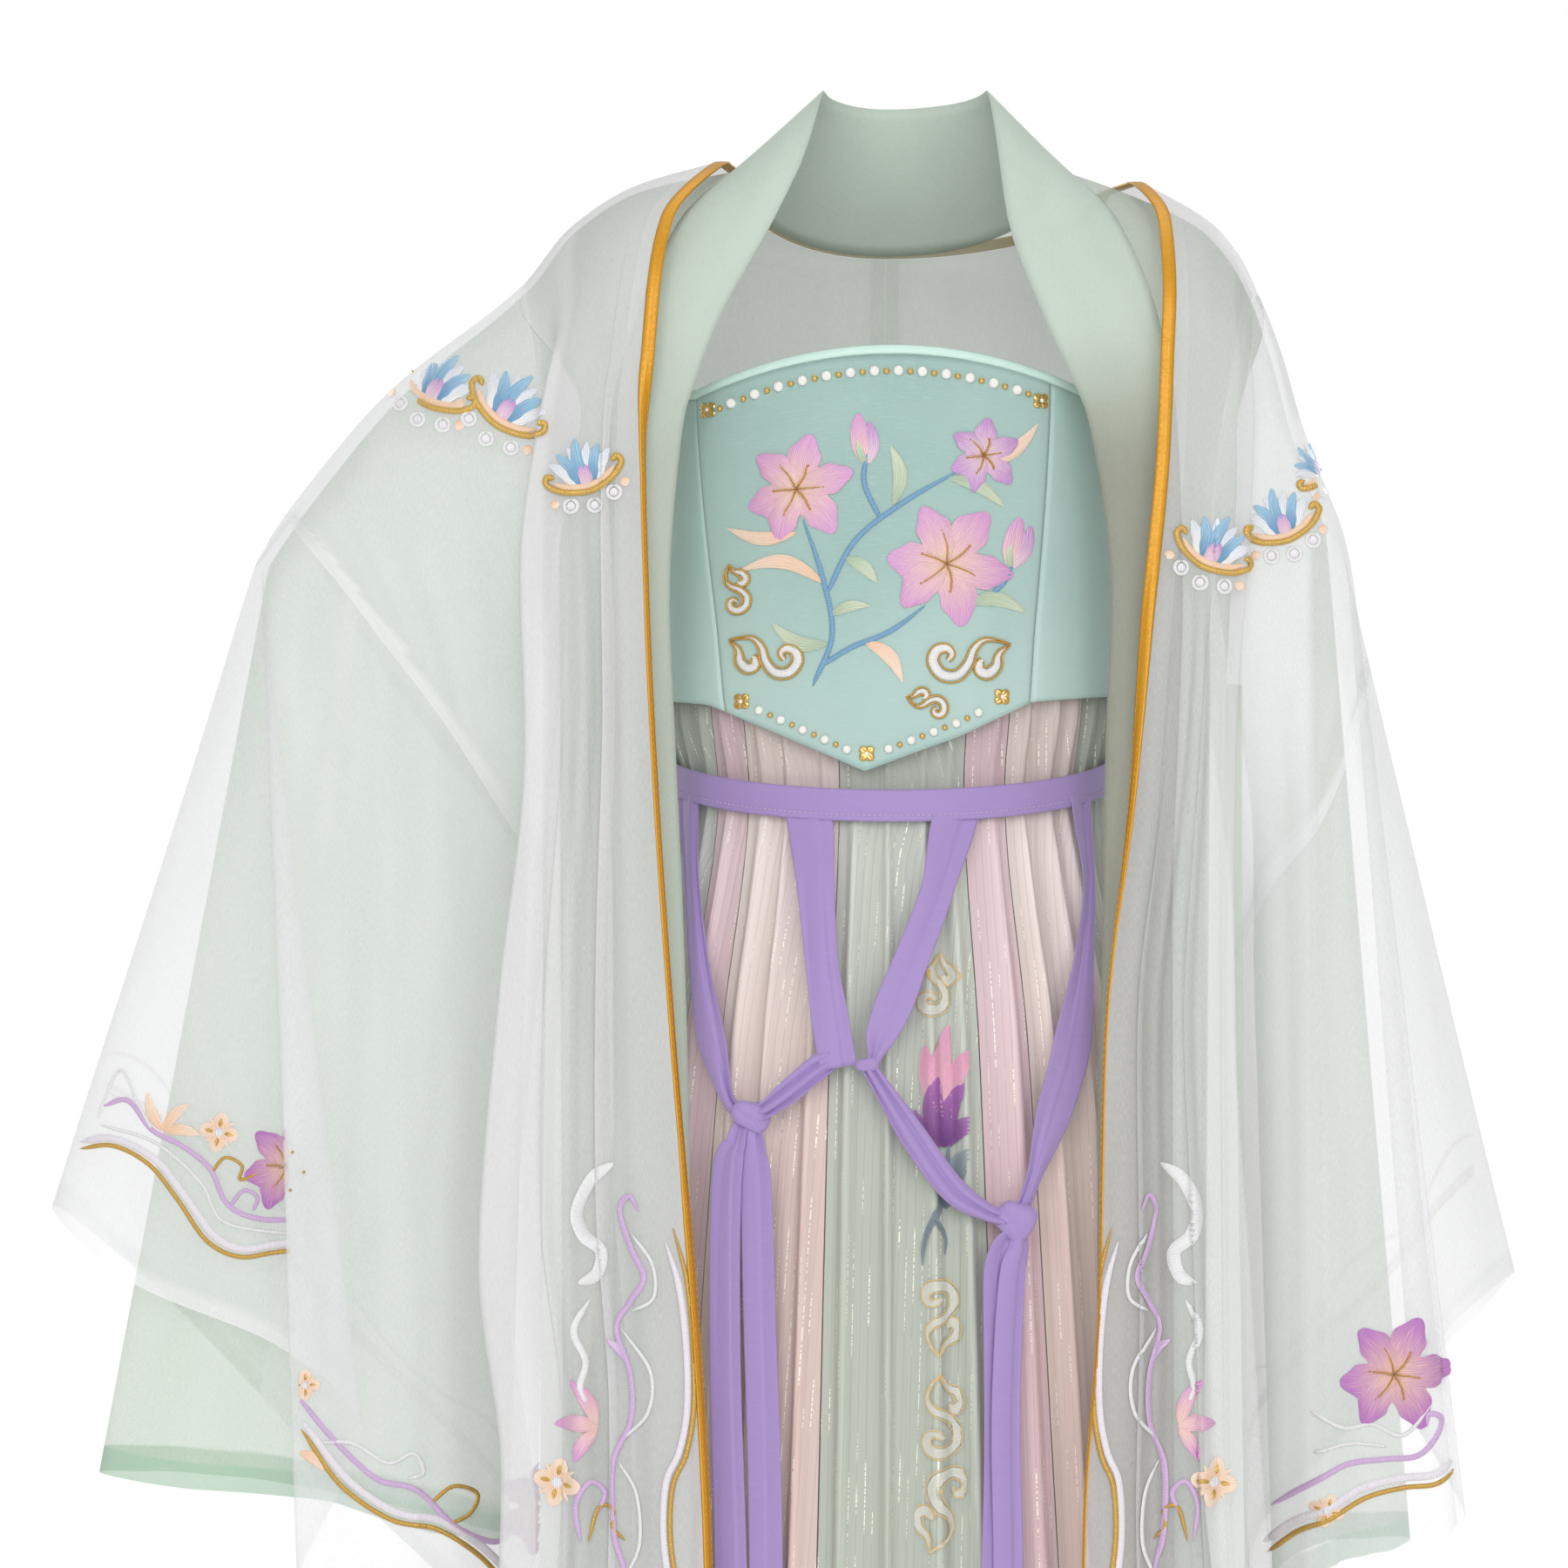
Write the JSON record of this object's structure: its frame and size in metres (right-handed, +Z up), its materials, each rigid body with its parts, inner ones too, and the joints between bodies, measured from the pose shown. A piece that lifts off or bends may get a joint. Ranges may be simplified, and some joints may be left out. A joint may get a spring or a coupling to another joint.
{
  "type": "hanfu robe set",
  "caption": "Worn hanfu set held up by its wearer: wide-sleeved sheer outer robe, inner robe, fitted bodice, pleated chest-high skirt and tied ribbon belt.",
  "frame": {"origin": "between the shoulders, level with the shoulder line, where the wearer carries the robes", "axes": "+Z up, the garment faces -Y, +X towards the wearer's left"},
  "size_m": [0.9492, 0.4721, 1.4855],
  "materials": {
    "outer_chiffon": "sheer white chiffon",
    "gold_satin": "gold satin piping",
    "mint_chiffon": "sheer mint chiffon",
    "mint_band": "double mint chiffon",
    "turquoise_satin": "slub satin",
    "light_binding": "satin bias binding",
    "skirt_sage": "sheer pleated cloth with gold thread",
    "skirt_pink": "sheer pleated cloth with gold thread",
    "skirt_peach": "sheer pleated cloth with gold thread",
    "lavender_crepe": "matte crepe"
  },
  "bodies": {
    "root": {"belt_band": "lavender_crepe", "bodice_back": "turquoise_satin", "bodice_binding": "light_binding", "bodice_front": "turquoise_satin", "bodice_side_left": "turquoise_satin", "bodice_side_right": "turquoise_satin", "inner_body_left": "mint_chiffon", "inner_body_right": "mint_chiffon", "inner_collar_band": "mint_band", "inner_sleeve_left": "mint_chiffon", "inner_sleeve_right": "mint_chiffon", "knot_centre": "lavender_crepe", "knot_left": "lavender_crepe", "knot_right": "lavender_crepe", "outer_body_left": "outer_chiffon", "outer_body_right": "outer_chiffon", "outer_sleeve_lower_left": "outer_chiffon", "outer_sleeve_lower_right": "outer_chiffon", "outer_sleeve_upper_left": "outer_chiffon", "outer_sleeve_upper_right": "outer_chiffon", "piping_left": "gold_satin", "piping_right": "gold_satin", "ribbon_centre_left": "lavender_crepe", "ribbon_centre_right": "lavender_crepe", "ribbon_link_left": "lavender_crepe", "ribbon_link_right": "lavender_crepe", "ribbon_side_left": "lavender_crepe", "ribbon_side_right": "lavender_crepe", "skirt_peach_1": "skirt_peach", "skirt_peach_2": "skirt_peach", "skirt_peach_3": "skirt_peach", "skirt_peach_4": "skirt_peach", "skirt_peach_5": "skirt_peach", "skirt_pink_1": "skirt_pink", "skirt_pink_2": "skirt_pink", "skirt_pink_3": "skirt_pink", "skirt_pink_4": "skirt_pink", "skirt_pink_5": "skirt_pink", "skirt_sage_1": "skirt_sage", "skirt_sage_2": "skirt_sage", "skirt_sage_3": "skirt_sage", "skirt_sage_4": "skirt_sage", "skirt_sage_5": "skirt_sage", "tail_left_inner": "lavender_crepe", "tail_left_outer": "lavender_crepe", "tail_right_inner": "lavender_crepe", "tail_right_outer": "lavender_crepe"}
  },
  "joints": []
}
